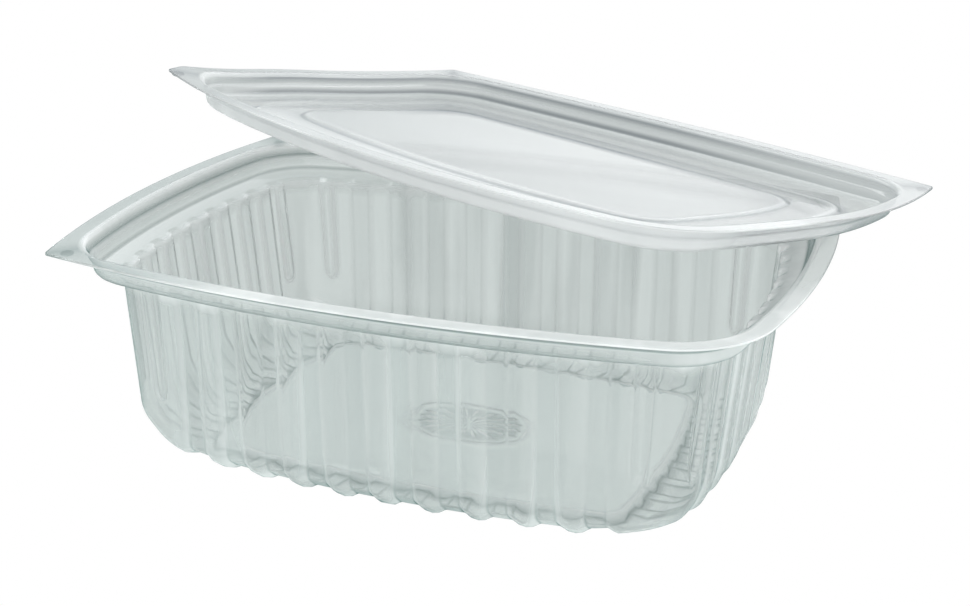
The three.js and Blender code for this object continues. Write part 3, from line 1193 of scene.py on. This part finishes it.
def by_light(graph, through, mirrored, lighting):
    """White to the eye, and else the colour for the way by which the light comes."""
    colour = blend(graph, through, mirrored, light_path(graph, "Is Reflection Ray"))
    colour = blend(graph, colour, lighting, light_path(graph, "Diffuse Depth").above(0.5))
    return blend(graph, colour, WHITE, light_path(graph, "Is Camera Ray"))


def card_wave(graph, place):
    """A soft wave round the object: light and dark cards standing on the table."""
    angle = part_of(graph, place, "Y").math("ARCTAN2", part_of(graph, place, "X"))
    return ramp(graph, (angle * CARDS + CARD_TURN).math("SINE"), *CARD_EDGES)


print("cards round the table", CARDS)

# %% [markdown]
# ## The table
# A large glowing sheet just under the foot never darkens, so it is as white as paper. In
# its mirror the plastic sees the cards, which give the heel and the foot their contrast.

# %% The table
table_mesh = bpy.data.meshes.new("table")
table_corners = [(x * HALF_TABLE, y * HALF_TABLE, 0) for x, y in
                 ((-1, -1), (1, -1), (1, 1), (-1, 1))]
table_mesh.from_pydata(table_corners, [], [(0, 1, 2, 3)])
table = bpy.data.objects.new("table", table_mesh)
table.location.z = -TABLE_GAP
bpy.context.scene.collection.objects.link(table)
table_finish = bpy.data.materials.new("table")
table_finish.use_nodes = True
table_finish.node_tree.nodes.clear()
graph = Graph(table_finish.node_tree)
place = graph.node("ShaderNodeTexCoord", output="Object")
cards = blend(graph, CARD_DARK, CARD_BRIGHT, card_wave(graph, place))
table_colour = by_light(graph, SEEN_THROUGH, cards, TABLE_LIGHT)
glow = graph.node("ShaderNodeEmission", None, {"Color": table_colour, "Strength": 1.0})
finish_shader(graph, glow)
table_mesh.materials.append(table_finish)
print("table", 2 * HALF_TABLE, "m wide")

# %% [markdown]
# ## The room
# The world is the room. In the plastic's mirror its walls are bright, with a brighter
# window high at the back, a dark wall far to the left, and a dark ceiling that draws the
# edges. Seen through the plastic the walls grow paler upwards, except at the left.

# %% The world
SEEN_HIGH = (1.0, 1.0, 1.0)
MIRRORED_WALL = (1.45, 1.48, 1.5)
MIRRORED_LOW = (1.25, 1.27, 1.29)
MIRRORED_WINDOW = (1.9, 1.95, 2.0)
MIRRORED_LEFT = (0.33, 0.39, 0.4)
MIRRORED_CEILING = (0.4, 0.45, 0.5)
ROOM_LIGHT = (0.75, 0.77, 0.77)
ABOVE_TABLE = (0.02, 0.25)
ABOVE_LOW_WALL = (0.08, 0.3)
HIGH_ON_WALL = (0.25, 0.34)
OVERHEAD = (0.45, 0.85)
TO_THE_LEFT = (0.2, 0.6)
TO_THE_BACK = (0.3, 0.7)
world = bpy.data.worlds.new("studio")
bpy.context.scene.world = world
world.use_nodes = True
world.node_tree.nodes.clear()
graph = Graph(world.node_tree)
direction = graph.node("ShaderNodeTexCoord", output="Generated")
rise = part_of(graph, direction, "Z")
left = ramp(graph, part_of(graph, direction, "X") * -1, *TO_THE_LEFT)
window = ramp(graph, part_of(graph, direction, "Y"), *TO_THE_BACK)
window = window * ramp(graph, rise, *HIGH_ON_WALL)
above_table = ramp(graph, rise, *ABOVE_TABLE)
mirrored = blend(graph, MIRRORED_LOW, MIRRORED_WALL, ramp(graph, rise, *ABOVE_LOW_WALL))
mirrored = blend(graph, mirrored, MIRRORED_WINDOW, window)
mirrored = blend(graph, mirrored, MIRRORED_LEFT, left)
mirrored = blend(graph, mirrored, MIRRORED_CEILING, ramp(graph, rise, *OVERHEAD))
through = blend(graph, SEEN_THROUGH, SEEN_HIGH, above_table)
through = blend(graph, through, MIRRORED_LEFT, left * above_table)
room = by_light(graph, through, mirrored, ROOM_LIGHT)
background = graph.node("ShaderNodeBackground", None, {"Color": room, "Strength": 1.0})
finish_shader(graph, background, "ShaderNodeOutputWorld")
print("nodes of the world", len(world.node_tree.nodes))

# %% [markdown]
# ## Two windows
# Two soft lamps stand for windows at the left and the right. They add the small bright
# marks along the folds that an even room cannot give.

# %% Lamps
def soft_light(name, place, size, power):
    """A large lamp that is aimed at the tray."""
    data = bpy.data.lights.new(name, "AREA")
    data.shape = "RECTANGLE"
    data.size, data.size_y = size
    data.energy = power
    light = bpy.data.objects.new(name, data)
    light.location = place
    light.rotation_euler = (LIGHT_AIM - Vector(place)).to_track_quat("-Z", "Y").to_euler()
    bpy.context.scene.collection.objects.link(light)
    print(name, power, "W")


LIGHT_AIM = Vector((0, 0, 0.05))
WINDOWS = {
    "left_window": {"place": (-0.9, 0.5, 0.9), "size": (0.5, 0.9), "power": 3.5},
    "right_window": {"place": (0.9, 0.7, 0.7), "size": (0.35, 0.9), "power": 2.4},
}
for name, window in WINDOWS.items():
    soft_light(name, **window)

# %% [markdown]
# ## The camera
# It looks down a little from the right of the tray's front, so that the far walls show
# over the near ones. The point it is aimed at is given from the middle of the tray.

# %% Camera
FROM_TRAY_CENTRE = Vector((4.72, 4.38, 35.1)) * MM
AIM = Vector((tray_centre.x, tray_centre.y, 0)) + FROM_TRAY_CENTRE
AZIMUTH = math.radians(21.377)
ELEVATION = math.radians(21.150)
DISTANCE = 0.42173
LENS = 58.87
back = Vector((math.sin(AZIMUTH) * math.cos(ELEVATION),
               -math.cos(AZIMUTH) * math.cos(ELEVATION), math.sin(ELEVATION)))
camera_data = bpy.data.cameras.new("camera")
camera_data.lens = LENS
camera = bpy.data.objects.new("camera", camera_data)
camera.location = AIM + back * DISTANCE
camera.rotation_euler = (-back).to_track_quat("-Z", "Y").to_euler()
bpy.context.scene.collection.objects.link(camera)
bpy.context.scene.camera = camera
print("camera at", camera.location)

# %% [markdown]
# ## Light paths and tones
# Light crosses many sheets before it reaches the eye: two walls, the floor, the lid and
# its plug, each with two surfaces. Each crossing is a bounce, and where bounces run out
# the plastic would turn black. The Standard view keeps a white table white.

# %% Bounces and view
CLEAR_BOUNCES = 24
scene = bpy.context.scene
scene.view_settings.view_transform = "Standard"
scene.cycles.max_bounces = CLEAR_BOUNCES
scene.cycles.transmission_bounces = CLEAR_BOUNCES
scene.cycles.glossy_bounces = 8
scene.cycles.caustics_reflective = False
scene.cycles.caustics_refractive = False
print("bounces", scene.cycles.max_bounces)
